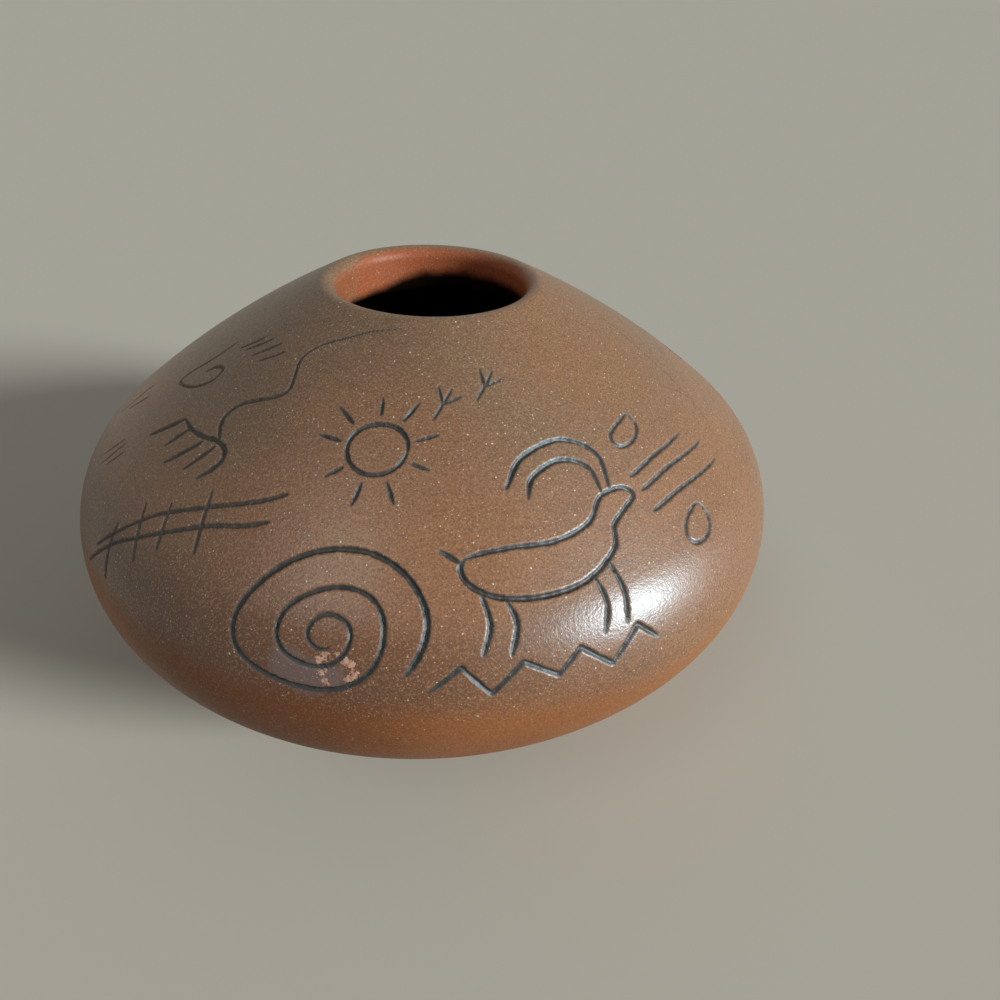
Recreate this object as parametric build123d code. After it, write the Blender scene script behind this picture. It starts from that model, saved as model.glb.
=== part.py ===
from build123d import *
from math import acos, asin, degrees, radians, sin, sqrt
import os

# A seed pot of fired clay: a squat body with a sharp belly, a long low shoulder and a small mouth.
# It is built up from a pressed base pat and coils of clay, and brushed with a thin coat of slip.
# Millimetres, +Z up. The origin is on the surface that the pot rests on, under the mouth's centre.

# Outline of the outside, turned about Z
belly_radius = 63.5  # widest ring
belly_height = 35.0  # height of the widest ring
pot_height = 73.4  # top of the lip
mouth_radius = 16.1  # throat, where it is narrowest
foot_radius = 24.0  # flat that the pot rests on
foot_round = 6.0  # bend from the flat into the underside
underside_radius = 65.5  # long arc from the foot to the belly
belly_under_radius = 16.4  # turn of the belly below the widest ring
belly_over_radius = 18.7  # turn of the belly above the widest ring
shoulder_radius = 199.0  # long arc from the belly to the lip
lip_round = 2.0  # rolled edge on top of the lip
throat_round = 2.0  # rolled edge under the throat

# Clay and slip
wall = 5.5  # thickness of every coil
base_thickness = 6.5  # thickness of the base pat in its middle
floor_round = 12.0  # bend from the inside floor into the wall
slip_thickness = 0.4  # coat of slip, level with the bare clay below it
slip_rise = 3.0  # lower edge of the slip above the widest ring

# Coils, with their heights measured up the outside of the wall
base_reach = 17.0  # base pat, from the flat of the foot
belly_coil_height = 16.0  # half of it lies below the widest ring
lip_coil_height = 8.0  # from its seam to the bend of the lip
lower_coils = 2
shoulder_coils = 3


def arc_centre(low, low_radius, high, high_radius, radius):
    # Centre of the arc that runs round two smaller circles, on their inner side.
    apart = high - low
    to_low = radius - low_radius
    to_high = radius - high_radius
    along = (apart.length**2 + to_low**2 - to_high**2) / (2 * apart.length)
    across = sqrt(to_low**2 - along**2)
    direction = apart.normalized()
    return low + direction * along + direction.rotate(Axis.Z, 90) * across


def height_angle(centre, point):
    # Angle of the line from the centre to the point, above level.
    line = point - centre
    return degrees(asin(line.Y / line.length))


# The outline is drawn flat, with X as the radius and Y as the height.
foot_centre = Vector(foot_radius, foot_round)
under_centre = Vector(belly_radius - belly_under_radius, belly_height)
over_centre = Vector(belly_radius - belly_over_radius, belly_height)
lip_centre = Vector(mouth_radius + lip_round, pot_height - lip_round)
underside_centre = arc_centre(foot_centre, foot_round, under_centre, belly_under_radius, underside_radius)
shoulder_centre = arc_centre(over_centre, belly_over_radius, lip_centre, lip_round, shoulder_radius)

foot_turn = height_angle(underside_centre, foot_centre)
under_turn = height_angle(underside_centre, under_centre)
over_turn = height_angle(shoulder_centre, over_centre)
lip_turn = height_angle(shoulder_centre, lip_centre)

# Arcs of the outside from the foot to the crown of the lip: centre, radius, first and last angle.
below_belly = [
    (foot_centre, foot_round, -90.0, foot_turn),
    (underside_centre, underside_radius, foot_turn, under_turn),
    (under_centre, belly_under_radius, under_turn, 0.0),
]
above_belly = [
    (over_centre, belly_over_radius, 0.0, over_turn),
    (shoulder_centre, shoulder_radius, over_turn, lip_turn),
]
crown_arc = (lip_centre, lip_round, lip_turn, 90.0)
outside = below_belly + above_belly + [crown_arc]


def arc_length(arc):
    centre, radius, first, last = arc
    return radius * radians(last - first)


# Lengths up the outside at which things start or end
belly_at = sum(arc_length(arc) for arc in below_belly)
bend_at = belly_at + sum(arc_length(arc) for arc in above_belly)
crown_at = bend_at + arc_length(crown_arc)
belly_coil_at = belly_at - belly_coil_height / 2
shoulder_at = belly_at + belly_coil_height / 2
lip_coil_at = bend_at - lip_coil_height
slip_at = belly_at + belly_over_radius * asin(slip_rise / belly_over_radius)


def wall_line(start, end, depth):
    # Arcs that follow the outside from one length to another, this deep under the surface.
    edges = []
    passed = 0.0
    for arc in outside:
        centre, radius, first, last = arc
        length = arc_length(arc)
        low = max(start - passed, 0.0)
        high = min(end - passed, length)
        if high > low:
            first_angle = first + degrees(low / radius)
            turn = degrees((high - low) / radius)
            edges.append(CenterArc(centre, radius - depth, first_angle, turn))
        passed += length
    return edges


def clay_line(start, end):
    # Outside of the clay: bare below the slip's edge, and just under the slip above it.
    bare = wall_line(start, min(end, slip_at), 0.0)
    covered = wall_line(max(start, slip_at), end, slip_thickness)
    step = [Line(bare[-1] @ 1, covered[0] @ 0)] if bare and covered else []
    return bare + step + covered


def section_between(outer, inner):
    # Flat section between two lines that run the same way, closed at both ends.
    seams = [Line(outer[0] @ 0, inner[0] @ 0), Line(outer[-1] @ 1, inner[-1] @ 1)]
    return make_face(outer + inner + seams)


def coil_section(start, end):
    return section_between(clay_line(start, end), wall_line(start, end, wall))


def base_section():
    # The inside of the base follows the underside down to a flat floor.
    outer = clay_line(0.0, base_reach)
    seam = wall_line(base_reach, belly_at, wall)[0] @ 0
    inside_radius = underside_radius - wall
    floor_angle = -degrees(asin((underside_centre.Y - base_thickness) / inside_radius))
    seam_angle = height_angle(underside_centre, seam)
    inner = CenterArc(underside_centre, inside_radius, floor_angle, seam_angle - floor_angle)
    floor_edge = inner @ 0
    flat = Line((0, 0), outer[0] @ 0)
    floor = Line(floor_edge, (0, base_thickness))
    axis = Line((0, base_thickness), (0, 0))
    section = make_face(outer + [inner, flat, floor, axis, Line(outer[-1] @ 1, inner @ 1)])
    corner = section.vertices().sort_by_distance(floor_edge)[0]
    return fillet(corner, floor_round)


def lip_section():
    # The lip rolls over into a straight throat, whose lower edge rolls back under the shoulder.
    outer = clay_line(lip_coil_at, crown_at)
    roll = CenterArc(lip_centre, lip_round, 90, 90)
    inside_radius = shoulder_radius - wall
    throat_x = mouth_radius + throat_round
    edge_angle = degrees(acos((throat_x - shoulder_centre.X) / (inside_radius + throat_round)))
    rise = (inside_radius + throat_round) * sin(radians(edge_angle))
    throat_centre = Vector(throat_x, shoulder_centre.Y + rise)
    throat_edge = CenterArc(throat_centre, throat_round, 180, edge_angle)
    throat = Line(roll @ 1, throat_edge @ 0)
    seam_angle = lip_turn - degrees(lip_coil_height / shoulder_radius)
    inner = CenterArc(shoulder_centre, inside_radius, seam_angle, edge_angle - seam_angle)
    seams = [Line(outer[0] @ 0, inner @ 0), Line(outer[-1] @ 1, roll @ 0)]
    return make_face(outer + [roll, throat, throat_edge, inner] + seams)


def coil_sections(name, count, start, end):
    # Equal coils between two lengths up the outside, numbered from the lowest.
    height = (end - start) / count
    sections = {}
    for number in range(count):
        low = start + number * height
        sections[f"{name}_{number + 1}"] = coil_section(low, low + height)
    return sections


sections = {"base_pat": base_section()}
sections.update(coil_sections("lower_coil", lower_coils, base_reach, belly_coil_at))
sections["belly_coil"] = coil_section(belly_coil_at, shoulder_at)
sections.update(coil_sections("shoulder_coil", shoulder_coils, shoulder_at, lip_coil_at))
sections["lip_coil"] = lip_section()

# The slip runs from just above the belly to the crown of the lip.
slip_surface = wall_line(slip_at, crown_at, 0.0)
sections["slip_coat"] = section_between(slip_surface, wall_line(slip_at, crown_at, slip_thickness))

os.makedirs("parts", exist_ok=True)
for name, section in sections.items():
    piece = revolve(Plane.XZ * section, Axis.Z)
    piece.label = name
    export_step(piece, f"parts/{name}.step")
    print(name, round(piece.volume), "mm3")
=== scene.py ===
from math import acos, asin, ceil, cos, degrees, pi, radians, sin, sqrt

import bpy
import numpy as np
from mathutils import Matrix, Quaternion, Vector
from mathutils.kdtree import KDTree


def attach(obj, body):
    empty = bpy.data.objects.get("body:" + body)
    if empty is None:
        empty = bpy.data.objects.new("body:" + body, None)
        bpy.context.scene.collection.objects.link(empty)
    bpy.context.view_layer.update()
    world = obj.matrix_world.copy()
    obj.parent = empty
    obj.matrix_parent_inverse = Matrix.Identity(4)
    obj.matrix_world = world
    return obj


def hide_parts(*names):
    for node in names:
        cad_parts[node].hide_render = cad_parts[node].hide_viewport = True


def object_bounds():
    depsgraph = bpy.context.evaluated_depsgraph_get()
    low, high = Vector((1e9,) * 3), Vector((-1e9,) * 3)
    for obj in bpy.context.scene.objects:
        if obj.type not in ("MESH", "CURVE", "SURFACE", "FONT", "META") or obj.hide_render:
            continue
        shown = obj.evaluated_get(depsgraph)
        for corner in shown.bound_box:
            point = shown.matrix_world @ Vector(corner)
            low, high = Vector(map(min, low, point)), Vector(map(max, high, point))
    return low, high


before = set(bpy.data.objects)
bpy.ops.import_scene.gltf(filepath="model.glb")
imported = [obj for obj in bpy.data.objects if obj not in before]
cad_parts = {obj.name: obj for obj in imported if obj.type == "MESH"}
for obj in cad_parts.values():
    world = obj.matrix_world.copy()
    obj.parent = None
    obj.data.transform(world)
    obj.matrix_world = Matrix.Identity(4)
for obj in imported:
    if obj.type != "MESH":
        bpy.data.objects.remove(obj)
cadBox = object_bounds()

mm = 0.001

# The clay wall, turned about Z. The widest ring and the height come from the frame.
potShape = {
    "bellyRadius": cadBox[1].x,
    "potHeight": cadBox[1].z,
    "bellyHeight": 35.0 * mm,  # height of the widest ring
    "mouthRadius": 16.1 * mm,
    "footRadius": 24.0 * mm,  # flat that the pot rests on
    "footRound": 6.0 * mm,
    "undersideRadius": 65.5 * mm,  # long arc from the foot to the belly
    "bellyUnderRadius": 16.4 * mm,  # turn of the belly below the widest ring
    "bellyOverRadius": 18.7 * mm,  # and above it
    "shoulderRadius": 199.0 * mm,  # long arc from the belly to the lip
    "lipRound": 2.0 * mm,
    "throatRound": 2.0 * mm,
    "throatDrop": 2.6 * mm,  # how much thicker the wall grows towards the throat
    "wall": 5.5 * mm,
    "baseThickness": 6.5 * mm,
    "floorRound": 12.0 * mm,
    "lipHeight": 8.0 * mm,  # lip piece, from its seam to its bend
    "divisions": 360,  # faces round the pot
    "rowHeight": 1.0 * mm,  # outside faces up the wall
    "insideRow": 3.5 * mm,
    "seamRow": 0.12 * mm,  # last row at a seam, so that the shading runs on over it
    "throatSteps": 12,  # rows of the thickened inside of the lip piece
    "samePoint": 0.0001 * mm,  # outline points this near are one
    "mergeWithin": 0.002 * mm,
    "unevenness": 0.22 * mm,  # how far a hand-built wall may lie inside the true round
    # Its swells: how many go round, where they start, how they lean with the height, and their size
    "swells": [(2, 0.7, 0.0, 1.0), (3, -1.9, 2.2, 0.7), (5, 0.4, -3.1, 0.5)],
    # The lip's dips: how many go round, where they start, and their size
    "dips": [(1, -0.6, 0.35), (3, 0.0, 0.15)],
    "dipFrom": 0.8,  # share of the height at which they begin
}


# Outline of the wall, drawn flat: radius from the axis and height.
def arcCentre(low, lowRadius, high, highRadius, radius):
    # Centre of the arc that runs round two smaller circles, on their inner side.
    apart = high - low
    toLow = radius - lowRadius
    toHigh = radius - highRadius
    along = (apart.length**2 + toLow**2 - toHigh**2) / (2 * apart.length)
    across = sqrt(toLow**2 - along**2)
    direction = apart.normalized()
    return low + direction * along + direction.orthogonal() * across


def heightAngle(centre, point):
    line = point - centre
    return degrees(asin(line.y / line.length))


shape = potShape
footCentre = Vector((shape["footRadius"], shape["footRound"]))
underCentre = Vector((shape["bellyRadius"] - shape["bellyUnderRadius"], shape["bellyHeight"]))
overCentre = Vector((shape["bellyRadius"] - shape["bellyOverRadius"], shape["bellyHeight"]))
lipCentre = Vector((shape["mouthRadius"] + shape["lipRound"], shape["potHeight"] - shape["lipRound"]))
undersideCentre = arcCentre(
    footCentre, shape["footRound"], underCentre, shape["bellyUnderRadius"], shape["undersideRadius"]
)
shoulderCentre = arcCentre(
    overCentre, shape["bellyOverRadius"], lipCentre, shape["lipRound"], shape["shoulderRadius"]
)
footTurn = heightAngle(undersideCentre, footCentre)
underTurn = heightAngle(undersideCentre, underCentre)
overTurn = heightAngle(shoulderCentre, overCentre)
lipTurn = heightAngle(shoulderCentre, lipCentre)
overLength = shape["bellyOverRadius"] * radians(overTurn)
lipSeamTurn = lipTurn - degrees(shape["lipHeight"] / shape["shoulderRadius"])


def arc(centre, radius, first, last, row):
    # Points along an arc, about one row apart.
    steps = max(2, ceil(abs(radians(last - first)) * radius / row))
    angles = [radians(first + (last - first) * step / steps) for step in range(steps + 1)]
    return [(centre.x + radius * cos(angle), centre.y + radius * sin(angle)) for angle in angles]


def straight(start, end, row):
    # Points after the start, up to the end.
    start, end = Vector(start), Vector(end)
    steps = max(1, ceil((end - start).length / row))
    return [tuple(start.lerp(end, step / steps)) for step in range(1, steps + 1)]


def joined(*stretches):
    # One line through several stretches, each shared end once.
    line = []
    for stretch in stretches:
        for point in stretch:
            if not line or (Vector(point) - Vector(line[-1])).length > shape["samePoint"]:
                line.append(point)
    return line


def withSeamRows(line):
    # A narrow first and last row.
    def near(end, inner):
        end, inner = Vector(end), Vector(inner)
        return tuple(end + (inner - end).normalized() * shape["seamRow"])

    return [line[0], near(line[0], line[1])] + line[1:-1] + [near(line[-1], line[-2]), line[-1]]


def baseOutline():
    wall, row, insideRow = shape["wall"], shape["rowHeight"], shape["insideRow"]
    insideRadius = shape["undersideRadius"] - wall
    floorCentreHeight = shape["baseThickness"] + shape["floorRound"]
    drop = undersideCentre.y - floorCentreHeight
    reach = sqrt((insideRadius - shape["floorRound"])**2 - drop**2)
    floorCentre = Vector((undersideCentre.x + reach, floorCentreHeight))
    floorTurn = heightAngle(undersideCentre, floorCentre)
    flat = [(0.0, 0.0)] + straight((0.0, 0.0), (shape["footRadius"], 0.0), insideRow)
    outside = joined(
        arc(footCentre, shape["footRound"], -90, footTurn, row / 2),
        arc(undersideCentre, shape["undersideRadius"], footTurn, underTurn, row),
        arc(underCentre, shape["bellyUnderRadius"], underTurn, 0, row),
    )
    inside = joined(
        arc(underCentre, shape["bellyUnderRadius"] - wall, 0, underTurn, row * 2),
        arc(undersideCentre, insideRadius, underTurn, floorTurn, insideRow),
        arc(floorCentre, shape["floorRound"], floorTurn, -90, row * 2),
    )
    floor = straight(inside[-1], (0.0, shape["baseThickness"]), insideRow)
    return joined(flat, withSeamRows(outside), inside, floor)


def shoulderOutline():
    wall, row = shape["wall"], shape["rowHeight"]
    outside = joined(
        arc(overCentre, shape["bellyOverRadius"], 0, overTurn, row),
        arc(shoulderCentre, shape["shoulderRadius"], overTurn, lipSeamTurn, row),
    )
    inside = joined(
        arc(shoulderCentre, shape["shoulderRadius"] - wall, lipSeamTurn, overTurn, shape["insideRow"]),
        arc(overCentre, shape["bellyOverRadius"] - wall, overTurn, 0, row * 2),
    )
    return joined(withSeamRows(outside), inside, outside[:1])


def thickenedInside(edgeTurn):
    # Inside of the lip piece, from the thick edge of the throat out to the even wall at the seam.
    line = []
    for step in range(shape["throatSteps"] + 1):
        share = step / shape["throatSteps"]
        angle = radians(edgeTurn + (lipSeamTurn - edgeTurn) * share)
        drop = shape["throatDrop"] * (1 - share * share * (3 - 2 * share))
        radius = shape["shoulderRadius"] - shape["wall"] - drop
        line.append((shoulderCentre.x + radius * cos(angle), shoulderCentre.y + radius * sin(angle)))
    return line


def lipOutline():
    row, fine = shape["rowHeight"], shape["lipRound"] / 6
    throatX = shape["mouthRadius"] + shape["throatRound"]
    edgeRadius = shape["shoulderRadius"] - shape["wall"] - shape["throatDrop"] + shape["throatRound"]
    edgeTurn = degrees(acos((throatX - shoulderCentre.x) / edgeRadius))
    throatCentre = Vector((throatX, shoulderCentre.y + edgeRadius * sin(radians(edgeTurn))))
    roll = arc(lipCentre, shape["lipRound"], lipTurn, 180, fine)
    throatEdge = arc(throatCentre, shape["throatRound"], 180, 180 + edgeTurn, fine)
    outside = joined(
        arc(shoulderCentre, shape["shoulderRadius"], lipSeamTurn, lipTurn, row),
        roll,
        straight(roll[-1], throatEdge[0], row / 2),
        throatEdge,
    )
    return joined(withSeamRows(outside), thickenedInside(edgeTurn), outside[:1])


# Turning an outline, as on a wheel
def deselectAll():
    for thing in bpy.context.selected_objects:
        thing.select_set(False)


def turnedPiece(name, outline):
    # One vertex is drawn along the outline, and the line is spun about the axis.
    deselectAll()
    bpy.ops.mesh.primitive_plane_add(size=shape["rowHeight"])
    piece = bpy.context.object
    piece.name = piece.data.name = name
    bpy.ops.object.mode_set(mode="EDIT")
    bpy.ops.mesh.merge(type="CENTER")
    here = (0.0, 0.0)
    for number, point in enumerate(outline):
        step = (point[0] - here[0], 0.0, point[1] - here[1])
        if number:
            bpy.ops.mesh.extrude_region_move(TRANSFORM_OT_translate={"value": step})
        else:
            bpy.ops.transform.translate(value=step)
        here = point
    bpy.ops.mesh.select_all(action="SELECT")
    bpy.ops.mesh.spin(steps=shape["divisions"], angle=2 * pi, center=(0, 0, 0), axis=(0, 0, 1))
    bpy.ops.mesh.select_all(action="SELECT")
    bpy.ops.mesh.remove_doubles(threshold=shape["mergeWithin"])
    bpy.ops.mesh.normals_make_consistent(inside=False)
    bpy.ops.mesh.select_all(action="DESELECT")
    bpy.ops.object.mode_set(mode="OBJECT")
    return piece


def places(piece):
    spots = np.empty(len(piece.data.vertices) * 3)
    piece.data.vertices.foreach_get("co", spots)
    return spots.reshape(-1, 3)


def setPlaces(piece, spots):
    piece.data.vertices.foreach_set("co", spots.ravel())
    piece.data.update()


def makeUneven(piece):
    # Slow swells of a wall shaped by hand. They only go inwards, and are the same for all pieces.
    spots = places(piece)
    turn = np.arctan2(spots[:, 0], -spots[:, 1])
    height = spots[:, 2] / shape["potHeight"]
    swell = np.zeros(len(spots))
    largest = 0.0
    for count, start, lean, size in shape["swells"]:
        swell += size * np.sin(count * turn + start + lean * height)
        largest += size
    inward = shape["unevenness"] * (0.5 + swell / largest / 2)
    radius = np.hypot(spots[:, 0], spots[:, 1])
    spots[:, :2] *= (1 - inward / np.maximum(radius, shape["mouthRadius"]))[:, None]
    lip = np.clip((height - shape["dipFrom"]) / (1 - shape["dipFrom"]), 0, 1)
    dip = 0.5 + sum(size * np.sin(count * turn + start) for count, start, size in shape["dips"])
    spots[:, 2] -= lip * shape["unevenness"] * dip
    setPlaces(piece, spots)


# Places on the shoulder: degrees round from the front, and metres up the wall from the widest ring.
def shoulderSpots(turn, rise):
    turn, rise = np.radians(turn), np.asarray(rise)
    low = rise / shape["bellyOverRadius"]
    high = radians(overTurn) + (rise - overLength) / shape["shoulderRadius"]
    onBelly = rise < overLength
    angle = np.where(onBelly, low, high)
    across = np.where(onBelly, overCentre.x, shoulderCentre.x)
    up = np.where(onBelly, overCentre.y, shoulderCentre.y)
    size = np.where(onBelly, shape["bellyOverRadius"], shape["shoulderRadius"])
    radius = across + size * np.cos(angle)
    return np.stack([radius * np.sin(turn), -radius * np.cos(turn), up + size * np.sin(angle)], 1)


def onTrueShoulder(spots):
    # The outside spots of the shoulder, moved onto its true round, and the way out of the wall there.
    radius = np.hypot(spots[:, 0], spots[:, 1])
    lowAngle = np.arctan2(spots[:, 2] - overCentre.y, radius - overCentre.x)
    onBelly = lowAngle < radians(overTurn)
    across = np.where(onBelly, overCentre.x, shoulderCentre.x)
    up = np.where(onBelly, overCentre.y, shoulderCentre.y)
    size = np.where(onBelly, shape["bellyOverRadius"], shape["shoulderRadius"])
    away = np.hypot(radius - across, spots[:, 2] - up)
    levelShare = (radius - across) / away
    upShare = (spots[:, 2] - up) / away
    outside = np.abs(away - size) < shape["wall"] / 4
    outside &= onBelly | (upShare < sin(radians(lipTurn + 0.01)))
    wayOut = np.stack([spots[:, 0] / radius * levelShare, spots[:, 1] / radius * levelShare, upShare], 1)
    moved = np.where(outside[:, None], spots + wayOut * (size - away)[:, None], spots)
    return moved, wayOut, outside


# Carved lines. Points are degrees round from the front and millimetres up from the widest ring.
# A width is a share of the line's width, at its start and its end. Tone is how black the line is.
carving = {
    "width": 1.0 * mm,
    "depth": 0.62 * mm,
    "depthShares": (0.25, 1.2),  # of that depth, in the thinnest and the widest lines
    "raisedEdge": 0.012 * mm,  # clay pushed up beside the line
    "raisedWidth": 0.25 * mm,
    "roundness": 0.75,  # lower is flatter at the bottom
    "taper": 2.5 * mm,  # length over which an end narrows
    "endWidth": 0.35,  # width left at the very end
    "curveSteps": 24,  # points of a curve from one given point to the next
    "sampleStep": 0.12 * mm,
    "reach": 1.5 * mm,  # how far beside a line its nearness is kept, for the blackening
    "coarseReach": 1.9 * mm,  # faces this near a line are divided once
    "fineReach": 1.05 * mm,  # and these twice
}

spiral = {
    "width": (0.5, 0.8),
    "tone": 0.95,
    "line": [(-13.2, 12.5), (-14.6, 11.9), (-15.9, 12.7), (-16.5, 13.9), (-15.9, 15.5), (-14.2, 16.6),
             (-12, 16), (-10.9, 14.5), (-11.2, 12.3), (-12.6, 10.5), (-14.7, 9.7), (-17.4, 10.1),
             (-19.5, 11.2), (-20.5, 13.2), (-20.2, 15.7), (-18.4, 18), (-15.1, 19.7), (-11.9, 20.1),
             (-9, 19.2), (-7.4, 17.3), (-6.8, 15), (-7.1, 12.3), (-8.3, 9.7), (-10.4, 7.9), (-13.3, 6.8),
             (-17.2, 6.7), (-21, 7.4), (-24.4, 8.8), (-26, 10.8), (-26.5, 13.2), (-26, 16.1),
             (-23.9, 19.8), (-20.8, 22.6), (-17.3, 24.3), (-13.3, 25), (-9.2, 24.7), (-5.2, 22.8),
             (-2.8, 20.1), (-1.5, 17.1), (-1.7, 14.1), (-2.8, 11.5), (-4.4, 9.1)],
}

ladder = {
    "width": (0.42, 0.66),
    "tone": 0.8,
    "rails": [
        [(-56, 10), (-49, 18.5), (-45, 21.7), (-38, 25.4), (-30.5, 28.5), (-26, 30.6)],
        [(-57.7, 6.2), (-52, 12.5), (-48, 15.8), (-43.7, 18.9), (-37, 22.7), (-31, 24.7), (-27, 26.3)],
    ],
    "rungs": [
        [(-53.5, 15.4), (-51, 7.5)],
        [(-51, 20.4), (-46, 13.3)],
        [(-46, 22.7), (-43, 16.5)],
        [(-40, 27.3), (-36.5, 18.7)],
    ],
}

wave = {
    "width": (0.14, 0.74),
    "tone": 0.75,
    "line": [(-12.7, 59.5), (-24.2, 58.2), (-33.7, 55.8), (-40.5, 53.4), (-42.8, 50.4), (-40.5, 47.4),
             (-39.1, 45), (-41.4, 43.2), (-48.2, 40.1), (-49.9, 37.4), (-49, 35.6), (-46.5, 33.8)],
}

comb = {
    "width": (0.6, 0.82),
    "tone": 0.8,
    "stem": [(-59.5, 32.6), (-55.3, 32.3), (-50.1, 32.8), (-47.3, 33.4), (-43.9, 33.1), (-42.4, 31.6),
             (-43.3, 29.5), (-44.9, 27.6)],
    "teeth": [
        [(-64.7, 26.4), (-59.5, 32.6)],
        [(-58.1, 27.7), (-55.8, 32.3)],
        [(-54.5, 26.1), (-50, 32)],
        [(-49.1, 27.4), (-46.2, 32.5)],
    ],
}

hook = {
    "width": (0.3, 0.5),
    "tone": 0.65,
    "line": [(-73.1, 45.4), (-73.4, 41.3), (-75.3, 36.4), (-75.1, 33.9), (-71.4, 34.5), (-67, 36.5),
             (-64, 39.4), (-65, 41.6), (-68.2, 40.8), (-70, 39)],
}

fourStrokes = {
    "width": (0.35, 0.55),
    "tone": 0.65,
    "lines": [
        [(-68.4, 45.6), (-63.9, 49.9)],
        [(-65.4, 46.2), (-60.3, 50.5)],
        [(-60.5, 46.5), (-55, 50.9)],
        [(-56.4, 46.4), (-50.6, 50.1)],
    ],
}

sideMarks = {
    "width": (0.25, 0.35),
    "tone": 0.5,
    "lines": [
        [(-72.6, 16.7), (-71, 21.4)],
        [(-70.4, 16.2), (-69.4, 21.6)],
        [(-68.7, 17), (-67.2, 20.9)],
        [(-85.1, 18.2), (-85.3, 26.4)],
        [(-83, 20.9), (-80.4, 26.2)],
    ],
}

scratches = {
    "width": (0.12, 0.2),
    "tone": 0.35,
    "lines": [
        [(83.7, 50), (77.4, 40.5), (74.4, 33.5), (71.4, 28), (69.1, 24.7)],
        [(66.2, 36.5), (70.2, 33.1), (73.5, 28.6)],
    ],
}

drops = {
    "width": (0.55, 0.6),
    "tone": 0.8,
    "shapes": [
        [(47.3, 37.4), (47.6, 36.2), (47.5, 35.2), (45.8, 34.1), (42.7, 33.4), (39.5, 33.7), (38.6, 35.1),
         (39.9, 36.3), (43.6, 37)],
        [(47.1, 20.1), (47.4, 18.3), (46.5, 16.6), (44.6, 15.6), (42.6, 15.5), (41.1, 16.1), (40.7, 17.5),
         (42.1, 19.1), (44.6, 20)],
    ],
}

rain = {
    "width": (0.75, 0.4),
    "tone": 0.85,
    "lines": [
        [(37.2, 29.1), (45.6, 29.8), (57, 29.4)],
        [(37.7, 26.6), (47.4, 27.1), (60.4, 25.7)],
        [(37.4, 23.2), (46.6, 23.4), (60.1, 21.8)],
    ],
}

# Front design, in millimetres about its own place
sheep = {
    "at": (16.5, 21),
    "size": 0.86,
    "width": (0.62, 0.78),
    "tone": 0.95,
    "body": [(-13, 3.4), (-6, 4.4), (2, 4), (8.5, 5.4), (12, 8.6), (16.6, 8.6), (18.8, 6.6), (16, 5.2),
             (12.8, 3.4), (11.4, 0), (5, -3.2), (-3, -3.8), (-10, -2.6), (-13.8, 0.2)],
    "lines": [
        [(9.6, -1.4), (10.8, -6.5), (10.2, -11.6)],  # legs
        [(6.4, -2.9), (7.2, -7.5), (5.8, -11.8)],
        [(-8.6, -3), (-7.8, -7), (-9.6, -11.6)],
        [(-12, -1.6), (-11.8, -6.6), (-13.8, -11)],
        [(12.6, 9.2), (11.6, 14), (6.8, 16.6), (1.4, 15), (-0.6, 11.6)],  # horns
        [(14.4, 9.2), (14.2, 15.6), (8.2, 20), (0.6, 18.6), (-3.6, 13.8)],
        [(-13.4, 2.6), (-16.4, 5)],  # tail
    ],
}

sun = {
    "at": (-12, 39.2),
    "width": (0.7, 0.55),
    "tone": 0.9,
    "radius": 4.0,
    "rays": 9,
    "ray": (5.3, 8.4),  # from and to this far from the middle
    "turned": 0.3,
    "wander": 0.4,
}

hills = {
    "at": (14, 6.8),
    "width": (0.55, 0.75),
    "tone": 0.95,
    "peaks": 4,
    "peakWidth": 8.4,
    "peakHeight": 3.4,
    "wander": 0.45,  # how far the hand strays, in mm
}

birdTracks = {
    "width": (0.65, 0.45),
    "tone": 0.8,
    # Each with its lean in degrees
    "places": [(2, 46.5, 30), (14, 49, 38), (152, 33, -25), (166, 37, -32), (-157, 28, 20)],
    "toes": (-38, 0, 38, 180),
    "toeLength": 2.9,
}

# The far side isn't seen, so it has a few plain marks of the same kinds.
farSpiralMove = (172, 1.5)  # degrees round and mm up from the front one
cloud = {
    "at": (112, 24),
    "width": (0.7, 0.62),
    "tone": 0.9,
    "steps": [(-11, 0), (-11, 4), (-6.5, 4), (-6.5, 8), (-2.6, 8), (-2.6, 11.5), (2.6, 11.5), (2.6, 8),
              (6.5, 8), (6.5, 4), (11, 4), (11, 0), (-11, 0)],
    "rainLines": 6,
    "rainSpacing": 3.6,
    "rainGap": 1.2,  # from the cloud down to the rain
    "rainLength": 7.5,
}
farHills = dict(hills, at=(-158, 9.5), peaks=6)
farWave = {
    "width": (0.35, 0.65),
    "tone": 0.75,
    "line": [(-110, 42), (-122, 44), (-134, 40), (-146, 43.5), (-158, 40), (-170, 43)],
}
farLadder = {
    "width": (0.6, 0.45),
    "tone": 0.8,
    "rails": [
        [(-104, 31), (-118, 28), (-132, 29), (-142, 31)],
        [(-104, 26), (-118, 23), (-132, 24), (-142, 26)],
    ],
    "rungs": [[(-109, 33.5), (-110, 21.5)], [(-119, 31), (-120, 19.5)], [(-129, 31.5), (-130, 20.5)]],
}


def smoothLine(points, closed=False):
    # A curve through given points, each stretch bent by its neighbours.
    points = [np.array(point, float) for point in points]
    if closed:
        points.append(points[0])
        line = [points[-2]] + points + [points[1]]
    else:
        line = [2 * points[0] - points[1]] + points + [2 * points[-1] - points[-2]]
    curve = []
    for a, b, c, d in zip(line, line[1:], line[2:], line[3:]):
        for share in np.linspace(0, 1, carving["curveSteps"], endpoint=False):
            bend = 2 * b + (c - a) * share + (2 * a - 5 * b + 4 * c - d) * share**2
            curve.append((bend + (3 * b - a - 3 * c + d) * share**3) / 2)
    curve.append(points[-1])
    return np.array(curve)


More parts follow.
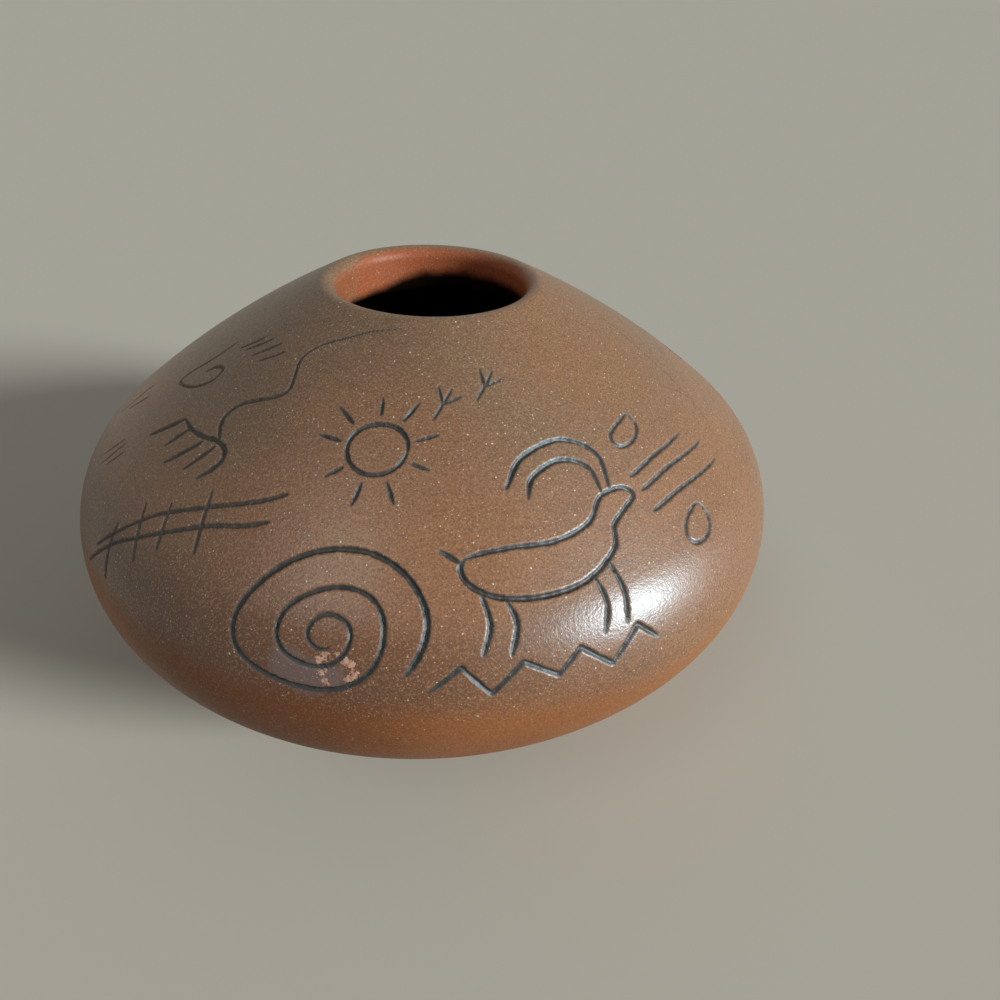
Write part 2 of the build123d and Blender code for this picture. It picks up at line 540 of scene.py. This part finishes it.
def steadied(curve):
    # The same curve with the small shakes of its given points evened out.
    reach = carving["curveSteps"]
    weights = np.hanning(2 * reach + 3)[1:-1]
    weights /= weights.sum()
    longer = np.concatenate([np.repeat(curve[:1], reach, 0), curve, np.repeat(curve[-1:], reach, 0)])
    return np.stack([np.convolve(longer[:, side], weights, "valid") for side in (0, 1)], 1)


def drawnAt(place, points):
    # Points in millimetres about a place, right and up, as degrees and millimetres on the shoulder.
    turn, rise = place
    drawn = np.array(points, float)
    up = rise + drawn[:, 1]
    radius = np.hypot(*shoulderSpots(np.zeros(len(up)), up * mm)[:, :2].T) / mm
    return np.stack([turn + np.degrees(drawn[:, 0] / radius), up], 1)


carvedLines = []  # each a line's points, its widths and its tone


def cutLine(motif, points):
    carvedLines.append((np.array(points, float), motif["width"], motif["tone"]))


def cutLadder(motif):
    for line in motif["rails"] + motif["rungs"]:
        cutLine(motif, smoothLine(line))


def cutSheep(motif):
    body = smoothLine(motif["body"], closed=True) * motif["size"]
    cutLine(motif, drawnAt(motif["at"], body))
    for line in motif["lines"]:
        cutLine(motif, drawnAt(motif["at"], smoothLine(line) * motif["size"]))


def cutSun(motif):
    angles = np.linspace(0, 2 * pi, 60)
    ring = (motif["radius"] + np.sin(2 * angles + 1) * motif["wander"] / 2)[:, None]
    ring = ring * np.stack([np.cos(angles), np.sin(angles)], 1)
    cutLine(motif, drawnAt(motif["at"], ring))
    for number in range(motif["rays"]):
        angle = 2 * pi * number / motif["rays"] + motif["turned"] + sin(number * 2.6) * 0.05
        reach = np.linspace(motif["ray"][0], motif["ray"][1] + sin(number * 2.2) * motif["wander"], 5)
        cutLine(motif, drawnAt(motif["at"], np.stack([reach * cos(angle), reach * sin(angle)], 1)))


def cutHills(motif):
    # Straight slopes, each with a few points so that it bends with the wall.
    corners = np.arange(2 * motif["peaks"] + 1)
    across = (corners - motif["peaks"]) * motif["peakWidth"] / 2 + np.sin(corners * 2.1) * motif["wander"]
    up = (corners % 2) * motif["peakHeight"] + np.sin(corners * 1.7 + 1) * motif["wander"]
    along = np.linspace(0, corners[-1], 8 * corners[-1] + 1)
    cutLine(motif, drawnAt(motif["at"], np.stack([np.interp(along, corners, across),
                                                  np.interp(along, corners, up)], 1)))


def cutBirdTracks(motif):
    for turn, rise, lean in motif["places"]:
        for toe in motif["toes"]:
            angle = radians(90 - lean + toe)
            reach = np.linspace(0, motif["toeLength"], 6)
            cutLine(motif, drawnAt((turn, rise), np.stack([reach * cos(angle), reach * sin(angle)], 1)))


def cutCloud(motif):
    corners = np.array(motif["steps"], float)
    along = np.linspace(0, len(corners) - 1, 6 * len(corners))
    steps = [np.interp(along, np.arange(len(corners)), corners[:, side]) for side in (0, 1)]
    cutLine(motif, drawnAt(motif["at"], np.stack(steps, 1)))
    for number in range(motif["rainLines"]):
        across = (number - (motif["rainLines"] - 1) / 2) * motif["rainSpacing"]
        fall = -np.linspace(motif["rainGap"], motif["rainGap"] + motif["rainLength"], 6)
        cutLine(motif, drawnAt(motif["at"], np.stack([np.full(6, across), fall], 1)))


def cutAllLines():
    spiralLine = steadied(smoothLine(spiral["line"]))
    cutLine(spiral, spiralLine)
    cutLine(spiral, spiralLine + np.array(farSpiralMove))
    cutLadder(ladder)
    cutLadder(farLadder)
    for motif in (wave, hook, farWave):
        cutLine(motif, smoothLine(motif["line"]))
    for line in [comb["stem"]] + comb["teeth"]:
        cutLine(comb, smoothLine(line))
    for motif in (fourStrokes, sideMarks, scratches, rain):
        for line in motif["lines"]:
            cutLine(motif, smoothLine(line))
    for drop in drops["shapes"]:
        cutLine(drops, smoothLine(drop, closed=True))
    cutSheep(sheep)
    cutSun(sun)
    cutHills(hills)
    cutHills(farHills)
    cutBirdTracks(birdTracks)
    cutCloud(cloud)


def lineSamples(points, widths, tone):
    # Spots along one line on the shoulder, evenly spaced, with the half width and tone at each.
    spots = shoulderSpots(points[:, 0], points[:, 1] * mm)
    lengths = np.concatenate([[0], np.cumsum(np.linalg.norm(np.diff(spots, axis=0), axis=1))])
    along = np.linspace(0, lengths[-1], max(3, ceil(lengths[-1] / carving["sampleStep"])))
    turn = np.interp(along, lengths, points[:, 0])
    rise = np.interp(along, lengths, points[:, 1])
    width = np.interp(along, [0, lengths[-1]], widths)
    fromEnd = np.minimum(along, lengths[-1] - along) / carving["taper"]
    taper = carving["endWidth"] + (1 - carving["endWidth"]) * np.sqrt(np.clip(fromEnd, 0, 1))
    drift = 1 + 0.08 * np.sin(along / mm * 1.9 + turn[0]) + 0.06 * np.sin(along / mm * 4.3 + 2 * rise[0])
    halfWidth = carving["width"] / 2 * width * taper * drift
    return shoulderSpots(turn, rise * mm), halfWidth, np.full(len(along), tone)


def lineTree():
    samples = [lineSamples(*line) for line in carvedLines]
    spots, halfWidths, tones = [np.concatenate(kind) for kind in zip(*samples)]
    tree = KDTree(len(spots))
    for number, spot in enumerate(spots):
        tree.insert(spot, number)
    tree.balance()
    print("lines", round(sum(len(sample[0]) for sample in samples) * carving["sampleStep"] / mm), "mm long")
    return tree, halfWidths, tones


def refineNear(piece, tree, reach):
    # Smaller faces where a line will be cut.
    faces = piece.data.polygons
    centres = np.empty(len(faces) * 3)
    faces.foreach_get("center", centres)
    centres = centres.reshape(-1, 3)
    near = np.array([tree.find(centre)[2] < reach for centre in centres])
    near &= onTrueShoulder(centres)[2]
    faces.foreach_set("select", near)
    bpy.context.view_layer.objects.active = piece
    bpy.context.tool_settings.mesh_select_mode = (False, False, True)
    bpy.ops.object.mode_set(mode="EDIT")
    bpy.ops.mesh.subdivide(number_cuts=1, ngon=False)
    bpy.ops.mesh.select_all(action="DESELECT")
    bpy.ops.object.mode_set(mode="OBJECT")
    setPlaces(piece, onTrueShoulder(places(piece))[0])


def keepOnPiece(piece, name, values):
    kept = piece.data.attributes.new(name, "FLOAT", "POINT")
    kept.data.foreach_set("value", values.astype(np.float32))


def cutInto(piece, tree, halfWidths, tones):
    refineNear(piece, tree, carving["coarseReach"])
    refineNear(piece, tree, carving["fineReach"])
    spots = places(piece)
    wayOut, outside = onTrueShoulder(spots)[1:]
    found = [tree.find(spot) for spot in spots]
    away = np.array([spot[2] for spot in found])
    nearest = [spot[1] for spot in found]
    half = halfWidths[nearest]
    share = np.clip(away / half, 0, 1)
    depthShare = np.clip(half / (carving["width"] / 2), *carving["depthShares"])
    groove = (1 - share**2)**carving["roundness"] * depthShare
    raised = np.exp(-3 * ((away - half) / carving["raisedWidth"] - 0.7)**2)
    raised = np.where(away > half, raised, 0) * tones[nearest]
    push = (raised * carving["raisedEdge"] - groove * carving["depth"]) * outside
    setPlaces(piece, spots + wayOut * push[:, None])
    nearCut = np.clip(carving["reach"] - (away - half), 0, None) * outside
    keepOnPiece(piece, "nearCut", nearCut / mm)
    keepOnPiece(piece, "cutTone", tones[nearest])


# Finishes
class Wire:
    # A socket of a material's nodes that Python's signs work on.
    def __init__(self, tree, socket=None):
        self.tree = tree
        self.socket = socket

    def node(self, kind, settings=None, sockets=None, output=0):
        made = self.tree.nodes.new("ShaderNode" + kind)
        for name, value in (settings or {}).items():
            setattr(made, name, value)
        names = {socket.identifier: socket for socket in made.inputs}
        for name, value in (sockets or {}).items():
            socket = made.inputs[name] if isinstance(name, int) else names.get(name) or made.inputs[name]
            if isinstance(value, Wire):
                self.tree.links.new(value.socket, socket)
            else:
                socket.default_value = value
        if not made.outputs:
            return None
        found = {socket.identifier: socket for socket in made.outputs}
        return Wire(self.tree, found.get(output) or made.outputs[output])

    def maths(self, operation, first, second=0.0):
        return self.node("Math", {"operation": operation}, {0: first, 1: second})

    def __add__(self, other):
        return self.maths("ADD", self, other)

    def __sub__(self, other):
        return self.maths("SUBTRACT", self, other)

    def __rsub__(self, other):
        return self.maths("SUBTRACT", other, self)

    def __mul__(self, other):
        return self.maths("MULTIPLY", self, other)

    def __truediv__(self, other):
        return self.maths("DIVIDE", self, other)

    def __lt__(self, other):
        return self.maths("LESS_THAN", self, other)

    __radd__ = __add__
    __rmul__ = __mul__


def slope(value, low, high):
    # 0 below low and 1 above high, with a soft slope between.
    settings = {"interpolation_type": "SMOOTHSTEP"}
    return value.node("MapRange", settings, {"Value": value, "From Min": low, "From Max": high})


def tint(share, first, second):
    # From the first colour at 0 to the second at 1.
    first = first if isinstance(first, Wire) else (*first, 1)
    second = second if isinstance(second, Wire) else (*second, 1)
    sockets = {"Factor_Float": share, "A_Color": first, "B_Color": second}
    return share.node("Mix", {"data_type": "RGBA"}, sockets, "Result_Color")


def stretched(place, stretch):
    return place.node("VectorMath", {"operation": "MULTIPLY"}, {0: place, 1: stretch})


def mottle(place, size, detail=2.0, roughness=0.5, seed=0.0):
    # Cloudy values about 0.5, with patches of this many millimetres.
    moved = place.node("VectorMath", {"operation": "ADD"}, {0: place, 1: (seed, seed * 0.7, -seed)})
    sockets = {"Vector": moved, "Scale": 1 / size, "Detail": detail, "Roughness": roughness}
    return place.node("TexNoise", {}, sockets)


def specks(place, spacing, smallest, largest, share):
    # Round grains in some of the cells, with radii in millimetres.
    sockets = {"Vector": place, "Scale": 1 / spacing}
    away = place.node("TexVoronoi", {}, sockets) * spacing
    colour = place.node("TexVoronoi", {}, sockets, "Color")
    chance = colour.node("SeparateColor", {}, {"Color": colour}, 0)
    size = colour.node("SeparateColor", {}, {"Color": colour}, 1)
    gleam = colour.node("SeparateColor", {}, {"Color": colour}, 2) * 0.7 + 0.3
    radius = size * (largest - smallest) + smallest
    return (chance < share) * gleam * (1 - slope(away / radius, 0.5, 1.0))


def nearSpot(place, spot, size):
    # 1 at a spot of the shoulder, falling to 0 this many millimetres away.
    middle = tuple(shoulderSpots([spot[0]], [spot[1] * mm])[0] / mm)
    away = place.node("VectorMath", {"operation": "DISTANCE"}, {0: place, 1: middle}, "Value")
    return 1 - away / size


def nearAny(place, spots):
    nearest = 0.0
    for spot, size in spots:
        nearest = place.maths("MAXIMUM", nearest, nearSpot(place, spot, size))
    return nearest


def newMaterial(name):
    material = bpy.data.materials.new(name)
    material.use_nodes = True
    material.node_tree.nodes.clear()
    return material, Wire(material.node_tree)


clayFinish = {
    "clay": (0.318, 0.100, 0.028),
    "clayPaleAndLit": (0.430, 0.190, 0.074),  # towards the right as painted light where the key lamp falls, and in random patches
    "clayDark": (0.235, 0.073, 0.022),
    "throat": (0.375, 0.094, 0.032),
    # The inside is coloured near black as painted shade.
    "inside": (0.030, 0.014, 0.009),
    "insideBrown": (0.090, 0.038, 0.020),
    "insideRoughness": 0.8,
    # Colour of the painted shadow in the throat
    "throatShadow": (0.006, 0.003, 0.002),
    "throatShadowRoughness": 0.9,
    "roughness": 0.50,
    "shine": 0.35,
    "throatShadowLine": 66.2,  # mm above the table where the painted shadow in the throat begins, at its left
    "throatShadowRise": 2.9,  # how much higher that is further round
    "lipSlope": 0.6,  # fall of the lip's outside, which the painted shadow leaves alone
    "throatEdge": (82.6, 81.0),  # values of that slope between which the throat begins
}

slipFinish = {
    "slip": (0.292, 0.129, 0.054),
    "warm": (0.318, 0.134, 0.051),
    "warmShare": 0.6,
    "dark": (0.212, 0.096, 0.046),
    "streak": (0.165, 0.074, 0.036),
    "streakShare": 0.45,
    "upper": (0.250, 0.136, 0.070),  # towards the mouth
    "upperFrom": (54, 63),  # heights in mm between which it comes in
    "upperShare": 0.6,
    "burnished": (0.400, 0.163, 0.063),  # worn warm round the shoulder
    "burnishedShare": 0.5,
    "lowShade": (0.122, 0.035, 0.011),  # painted shade above the lower edge, most of all on the left, away from the key light
    "lowShadeFrom": (52, 46.5),
    "lowShadeShare": 0.8,
    "toneShift": (6, 4),  # mm by which patches and brush strokes move those heights
    "roughness": 0.36,
    "shine": 1.0,
    "polish": 0.45,  # weight of a soft sheen over it, on the right
    "polishRoughness": 0.58,
    "gleam": (0.80, 0.94, 1.0),  # tint of its highlight
    "edgeHeight": 40.4,  # mm above the table, on the left
    "edgeDrop": 4.4,  # how much lower it is on the right
    "edgeSoftness": 3.3,
    "edgeWander": 4,  # mm
    "lipEdge": (16.35, 17.5),  # radii between which it ends on the lip
}

# Patches over slip and clay alike, among them painted shade on the left and a painted sheen: places, reach
# in mm, strength and colour.
patchesAndPaintedLight = [
    ((-25, 5), 31, 0.55, (0.105, 0.029, 0.008)),  # painted shade, low on the left, away from the key light
    # painted shade, high on the left
    ((-34, 51), 26, 0.28, (0.100, 0.036, 0.014)),
    ((-12, 31), 28, 0.42, (0.335, 0.117, 0.036)),  # warm, above the spiral
    ((-14, 23), 8, 0.25, (0.450, 0.255, 0.135)),  # painted sheen, inside it
    # painted shade, further left
    ((-52, 30), 25, 0.28, (0.130, 0.066, 0.033)),
    ((60, 50), 24, 0.50, (0.315, 0.115, 0.030)),  # warm, on the right
    ((52, 12), 24, 0.40, (0.330, 0.120, 0.035)),
]

grainFinish = {
    # Pattern, values between which its grains show, their strength and colour
    "grains": [
        ("grain", 0.5, 0.8, 0.40, (0.095, 0.047, 0.024)),
        ("fine", 0.5, 0.72, 0.55, (0.095, 0.047, 0.024)),
        ("fine", 0.5, 0.3, 0.45, (0.450, 0.262, 0.132)),
    ],
    "mica": (0.88, 0.74, 0.54),
    # Spacing, smallest and largest radius in mm, the share of places with a fleck, and strength
    "flecks": [(0.85, 0.08, 0.18, 0.5, 0.9), (0.42, 0.06, 0.12, 0.6, 0.5)],
    "depth": 0.037,  # bump heights in mm
    "swell": 0.05,
}

lineFinish = {
    "black": (0.022, 0.019, 0.017),
    "grain": (0.070, 0.055, 0.043),
    "roughness": 0.55,
    "cutEdge": (-0.12, 0.04),  # mm from the edge of a cut between which the black comes in
    "smearEdge": (-0.3, 0.0),
    "smearShare": 0.35,
}

# Where the slip has flaked beside the spiral. Chips and worn spots, greyed partly as a painted sheen, are
# places with their reach in mm.
chipFinish = {
    "chips": [((-14.4, 10.7), 1.2), ((-13.7, 11.6), 0.9), ((-13.6, 10), 0.9), ((-12.3, 11.9), 0.8),
              ((-13.8, 9), 1.0), ((-13.5, 8), 1.0), ((-11.2, 11), 1.0), ((-10.4, 10.6), 1.3),
              ((-10.2, 10.1), 1.3), ((-10, 9.5), 1.4), ((-10.6, 8.8), 1.1), ((-10.5, 7.8), 0.9)],
    "bare": (0.640, 0.370, 0.250),
    "bareDeep": (0.450, 0.190, 0.105),
    "wornAndSheen": [((-18.4, 9.4), 3.6), ((-15.6, 8.5), 3.8), ((-12.8, 8.8), 2.6)],
    # Worn slip, greyed partly as a painted sheen
    "wornAndSheenColour": (0.190, 0.115, 0.104),
    "wornAndSheenShare": 0.75,
    "raggedness": 2.6,
    "depth": 0.08,
}


def potSurface(place):
    # What all the finishes share: patches and grain, by their place on the pot in mm.
    return {
        "broad": mottle(place, 28, 2),
        "cloud": mottle(place, 7, 4, 0.6, seed=31),
        "brushed": mottle(stretched(place, (1, 1, 5)), 9, 3, 0.55, seed=12),
        "streaks": mottle(stretched(place, (1, 1, 14)), 6, 3, 0.65, seed=21),
        "grain": mottle(place, 0.6, 2, 0.7, seed=5),
        "fine": mottle(place, 0.3, 1, 0.6, seed=9),
    }


def clayColour(patch, rightSide):
    # Paler in random patches, and paler towards the right as painted light on the side the key lamp lights.
    pale = slope(patch["broad"], 0.45, 0.75) * 0.4 + rightSide * 0.6
    colour = tint(pale, clayFinish["clay"], clayFinish["clayPaleAndLit"])
    return tint(slope(patch["cloud"], 0.5, 0.8) * 0.5, colour, clayFinish["clayDark"])


def slipColour(patch, height, rightSide):
    light = slope(patch["broad"] + (patch["brushed"] - 0.5) * 0.6, 0.28, 0.56)
    colour = tint(light, slipFinish["dark"], slipFinish["slip"])
    colour = tint(slope(patch["cloud"], 0.45, 0.75) * slipFinish["warmShare"], colour, slipFinish["warm"])
    patchShift, brushShift = slipFinish["toneShift"]
    height = height + (patch["broad"] - 0.5) * patchShift + (patch["brushed"] - 0.5) * brushShift
    upper = slope(height, *slipFinish["upperFrom"])
    # Painted shade low on the slip, weaker towards the right where the key light falls.
    lowShade = slope(height, *slipFinish["lowShadeFrom"]) * (1 - rightSide * 0.8)
    burnished = (1 - upper) * (1 - lowShade)
    colour = tint(upper * slipFinish["upperShare"], colour, slipFinish["upper"])
    colour = tint(burnished * slipFinish["burnishedShare"], colour, slipFinish["burnished"])
    colour = tint(lowShade * slipFinish["lowShadeShare"], colour, slipFinish["lowShade"])
    streaks = slope(patch["streaks"], 0.5, 0.72) * slipFinish["streakShare"]
    return tint(streaks, colour, slipFinish["streak"])


def withPatchesAndPaintedLight(place, patch, colour):
    # Colour patches, among them painted shade on the left and a painted sheen inside the spiral.
    for spot, reach, strength, shade in patchesAndPaintedLight:
        patchShare = slope(nearSpot(place, spot, reach) + (patch["broad"] - 0.5) * 0.6, 0.0, 0.6)
        colour = tint(patchShare * strength, colour, shade)
    return colour


def grained(patch, slip, colour):
    # Dark and light grains, fainter in the bare clay.
    share = slip * 0.5 + 0.5
    for kind, low, high, strength, shade in grainFinish["grains"]:
        colour = tint(slope(patch[kind], low, high) * share * strength, colour, shade)
    return colour


def chipped(place, patch, colour, roughness, bump):
    # The flaked spot beside the spiral: chips down to the clay, in a patch of worn slip greyed partly as a
    # painted sheen.
    wornAndSheen = slope(nearAny(place, chipFinish["wornAndSheen"]) + (patch["cloud"] - 0.5) * 0.9, 0.1, 0.6)
    colour = tint(wornAndSheen * chipFinish["wornAndSheenShare"], colour, chipFinish["wornAndSheenColour"])
    rough = mottle(place, 0.9, 3, 0.75, seed=44)
    bare = slope(nearAny(place, chipFinish["chips"]) + (rough - 0.5) * chipFinish["raggedness"], 0.5, 0.66)
    bareColour = tint(slope(patch["grain"], 0.4, 0.65), chipFinish["bare"], chipFinish["bareDeep"])
    return tint(bare, colour, bareColour), roughness + bare * 0.3, bump - bare * chipFinish["depth"]


def micaFlecks(place, slip):
    large, small = [specks(place, *fleck[:4]) * fleck[4] for fleck in grainFinish["flecks"]]
    return place.maths("MAXIMUM", large, small) * (slip * 0.6 + 0.4)


def blackened(patch, colour, roughness):
    # Black in the cut lines, with ragged edges, and a faint smear beside them.
    grain, fine = patch["grain"], patch["fine"]
    nearCut = grain.node("Attribute", {"attribute_name": "nearCut"}, {}, "Fac")
    tone = grain.node("Attribute", {"attribute_name": "cutTone"}, {}, "Fac")
    ragged = nearCut - carving["reach"] / mm + (grain - 0.5) * 0.16 + (fine - 0.5) * 0.1
    cut = slope(ragged, *lineFinish["cutEdge"])
    smear = slope(ragged, *lineFinish["smearEdge"])
    black = tint(slope(fine, 0.45, 0.75) * 0.6, lineFinish["black"], lineFinish["grain"])
    colour = tint(smear * tone * lineFinish["smearShare"], colour, lineFinish["black"])
    return tint(cut * tone, colour, black), roughness + smear * (lineFinish["roughness"] - roughness)


def throatShadowed(patch, side, radius, height, shader):
    # Painted shadow in the throat, where the lip shades it, below an uneven line that rises towards the
    # right. Side is -1 left to 1 right.
    shadowLine = clayFinish["throatShadowLine"] + slope(side, -0.75, -0.05) * clayFinish["throatShadowRise"]
    throat = slope(height + radius * clayFinish["lipSlope"], *clayFinish["throatEdge"])
    shadowed = slope(height - (patch["cloud"] - 0.5) * 2 - shadowLine, 1.2, -1.2) * throat
    throatShadow = side.node("BsdfPrincipled", {}, {
        "Base Color": (*clayFinish["throatShadow"], 1),
        "Roughness": clayFinish["throatShadowRoughness"],
        "Specular IOR Level": 0.0,
    })
    return side.node("MixShader", {}, {0: shadowed, 1: shader, 2: throatShadow})


def potFinish(name, part):
    # Part is base, shoulder or lip.
    material, wire = newMaterial(name)
    place = stretched(wire.node("TexCoord", {}, {}, "Object"), (1 / mm, 1 / mm, 1 / mm))
    across, back, height = [place.node("SeparateXYZ", {}, {"Vector": place}, side) for side in range(3)]
    radius = wire.maths("SQRT", across * across + back * back)
    side = across / radius
    patch = potSurface(place)
    cloud, grain, fine = patch["cloud"], patch["grain"], patch["fine"]

    # The slip thins out at a soft, uneven edge above the belly, and ends on the lip.
    rightSide = slope(side, -0.3, 0.6)
    edge = slipFinish["edgeHeight"] - rightSide * slipFinish["edgeDrop"]
    edge = edge + (cloud + patch["broad"] - 1) * slipFinish["edgeWander"]
    slip = slope(height - edge, -slipFinish["edgeSoftness"], slipFinish["edgeSoftness"])
    clay = clayColour(patch, slope(side, 0.1, 0.8))
    if part == "lip":
        leftSide = slope(side, -0.6, -0.95)
        slip = slip * slope(radius + (cloud - 0.5) + leftSide * 0.8, *slipFinish["lipEdge"])
        clay = tint(slope(radius, 19, 16.6), clay, clayFinish["throat"])
    colour = tint(slip, clay, slipColour(patch, height, rightSide))
    colour = grained(patch, slip, withPatchesAndPaintedLight(place, patch, colour))
    roughness = clayFinish["roughness"] - slip * (clayFinish["roughness"] - slipFinish["roughness"])
    roughness = roughness + (grain - 0.5) * 0.25 + (cloud - 0.5) * 0.1
    bump = (grain + fine * 0.8) * grainFinish["depth"] + cloud * grainFinish["swell"]

    if part == "shoulder":
        colour, roughness, bump = chipped(place, patch, colour, roughness, bump)
    mica = micaFlecks(place, slip)
    colour = tint(mica, colour, grainFinish["mica"])
    bump = bump + mica * (grainFinish["depth"] * 0.5)
    if part != "base":
        colour, roughness = blackened(patch, colour, roughness)

    normal = wire.node("Bump", {}, {"Height": bump, "Distance": mm})
    look = {"Base Color": colour, "Roughness": roughness, "Normal": normal}
    bareClay = wire.node("BsdfPrincipled", {}, look | {"Specular IOR Level": clayFinish["shine"]})
    polished = wire.node("BsdfPrincipled", {}, look | {
        "Specular IOR Level": slipFinish["shine"],
        "Specular Tint": (*slipFinish["gleam"], 1),
        "Coat Weight": rightSide * slipFinish["polish"],
        "Coat Roughness": slipFinish["polishRoughness"],
    })
    shader = wire.node("MixShader", {}, {0: slip, 1: bareClay, 2: polished})
    if part == "lip":
        shader = throatShadowed(patch, side, radius, height, shader)
    wire.node("OutputMaterial", {}, {"Surface": shader})
    return material


def paintedShadeInside():
    # Painted shade: the inside of the pot is coloured near black, with browner patches.
    material, wire = newMaterial("insideShadePaint")
    place = stretched(wire.node("TexCoord", {}, {}, "Object"), (1 / mm, 1 / mm, 1 / mm))
    patch = potSurface(place)
    colour = tint(slope(patch["cloud"], 0.35, 0.8) * 0.5, clayFinish["inside"], clayFinish["insideBrown"])
    bump = patch["grain"] * grainFinish["depth"] * 2 + patch["brushed"] * 0.3
    normal = wire.node("Bump", {}, {"Height": bump, "Distance": mm})
    look = {"Base Color": colour, "Roughness": clayFinish["insideRoughness"], "Normal": normal}
    shader = wire.node("BsdfPrincipled", {}, look)
    wire.node("OutputMaterial", {}, {"Surface": shader})
    return material


def insideFaces(piece):
    # Faces that look towards the middle of the pot.
    middle = Vector((0, 0, shape["bellyHeight"]))
    return [face.normal.dot(face.center - middle) < 0 for face in piece.data.polygons]


def finishPiece(piece, outer, inner, nodes, smoothAngle):
    deselectAll()
    piece.select_set(True)
    bpy.context.view_layer.objects.active = piece
    piece.data.materials.append(outer)
    if inner:
        piece.data.materials.append(inner)
        piece.data.polygons.foreach_set("material_index", insideFaces(piece))
    bpy.ops.object.shade_smooth_by_angle(angle=radians(smoothAngle))
    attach(piece, "root")
    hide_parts(*nodes)
    print(piece.name, sum(len(face.vertices) - 2 for face in piece.data.polygons), "triangles")


print("turning the pot")
roundedBase = turnedPiece("roundedBase", baseOutline())
carvedShoulder = turnedPiece("carvedShoulder", shoulderOutline())
rolledLip = turnedPiece("rolledLip", lipOutline())

print("cutting the lines")
cutAllLines()
lines = lineTree()
cutInto(carvedShoulder, *lines)
cutInto(rolledLip, *lines)
for piece in (roundedBase, carvedShoulder, rolledLip):
    makeUneven(piece)

print("finishes")
paintedShadeClay = paintedShadeInside()
finishPiece(
    roundedBase, potFinish("bareUnderside", "base"), paintedShadeClay,
    ["base_pat", "lower_coil_1", "lower_coil_2", "belly_coil"], 40,
)
finishPiece(
    carvedShoulder, potFinish("brushedSlip", "shoulder"), paintedShadeClay,
    ["slip_coat", "shoulder_coil_1", "shoulder_coil_2", "shoulder_coil_3"], 75,
)
finishPiece(rolledLip, potFinish("rolledClay", "lip"), None, ["lip_coil"], 40)

# Floor, light and camera
studio = {
    "floorSize": 30.0,
    "floorColour": (0.64, 0.585, 0.485),
    "floorGlow": (0.31, 0.26, 0.20),  # what the floor throws back on the pot
    "roomColour": (0.92, 0.96, 1.0),
    "roomStrength": 0.19,
    "backdropColour": (0.37, 0.364, 0.314),
    "keyFrom": (0.824, -0.457, 0.334),
    "keyStrength": 3.95,
    "keySpread": 13,
    "keyColour": (0.83, 0.91, 0.95),
    "fillFrom": (-0.44, -0.38, 0.81),
    "fillStrength": 0.22,
    "fillSpread": 25,
    "fillColour": (0.95, 0.98, 1.0),
}


def seenDirectly(wire):
    # 1 for what the camera, a reflection or clear glass shows, and 0 for light on its way.
    seen = 0.0
    for kind in ("Camera", "Glossy", "Transmission"):
        seen = wire.maths("MAXIMUM", seen, wire.node("LightPath", {}, {}, f"Is {kind} Ray"))
    return seen


def sunLamp(name, fromWay, strength, spread, colour):
    lamp = bpy.data.lights.new(name, "SUN")
    lamp.energy = strength
    lamp.angle = radians(spread)
    lamp.color = colour
    holder = bpy.data.objects.new(name, lamp)
    holder.rotation_mode = "QUATERNION"
    holder.rotation_quaternion = Vector(fromWay).to_track_quat("Z", "Y")
    bpy.context.scene.collection.objects.link(holder)


deselectAll()
bpy.ops.mesh.primitive_plane_add(size=studio["floorSize"])
floor = bpy.context.object
floor.name = "floor"
floorPaint, wire = newMaterial("palePaper")
floorTone = tint(seenDirectly(wire), studio["floorGlow"], studio["floorColour"])
wire.node("OutputMaterial", {}, {"Surface": wire.node("BsdfDiffuse", {}, {"Color": floorTone})})
floor.data.materials.append(floorPaint)

sunLamp("keyLamp", studio["keyFrom"], studio["keyStrength"], studio["keySpread"], studio["keyColour"])
sunLamp("fillLamp", studio["fillFrom"], studio["fillStrength"], studio["fillSpread"], studio["fillColour"])

# The room lights the pot, and the camera and reflections see a pale backdrop.
world = bpy.data.worlds.new("paleRoom")
world.use_nodes = True
world.node_tree.nodes.clear()
bpy.context.scene.world = world
wire = Wire(world.node_tree)
roomSockets = {"Color": (*studio["roomColour"], 1), "Strength": studio["roomStrength"]}
roomLight = wire.node("Background", {}, roomSockets)
backdrop = wire.node("Background", {}, {"Color": (*studio["backdropColour"], 1)})
sky = wire.node("MixShader", {}, {0: seenDirectly(wire), 1: roomLight, 2: backdrop})
wire.node("OutputWorld", {}, {"Surface": sky})

photoCamera = {
    "at": (0.0, -118.41 * mm, 113.86 * mm),
    "aim": (11.96 * mm, -12.31 * mm, 35.0 * mm),
    "bank": 2.573,
    "lens": 25.2,
    "sensor": 36.0,
}
cameraData = bpy.data.cameras.new("photoCamera")
cameraData.lens = photoCamera["lens"]
cameraData.sensor_width = photoCamera["sensor"]
cameraData.clip_start = 1 * mm
camera = bpy.data.objects.new("photoCamera", cameraData)
camera.location = photoCamera["at"]
looking = (Vector(photoCamera["aim"]) - camera.location).to_track_quat("-Z", "Y")
camera.rotation_mode = "QUATERNION"
camera.rotation_quaternion = looking @ Quaternion((0, 0, 1), radians(photoCamera["bank"]))
bpy.context.scene.collection.objects.link(camera)
bpy.context.scene.camera = camera
bpy.context.scene.view_settings.view_transform = "Standard"

print("done")
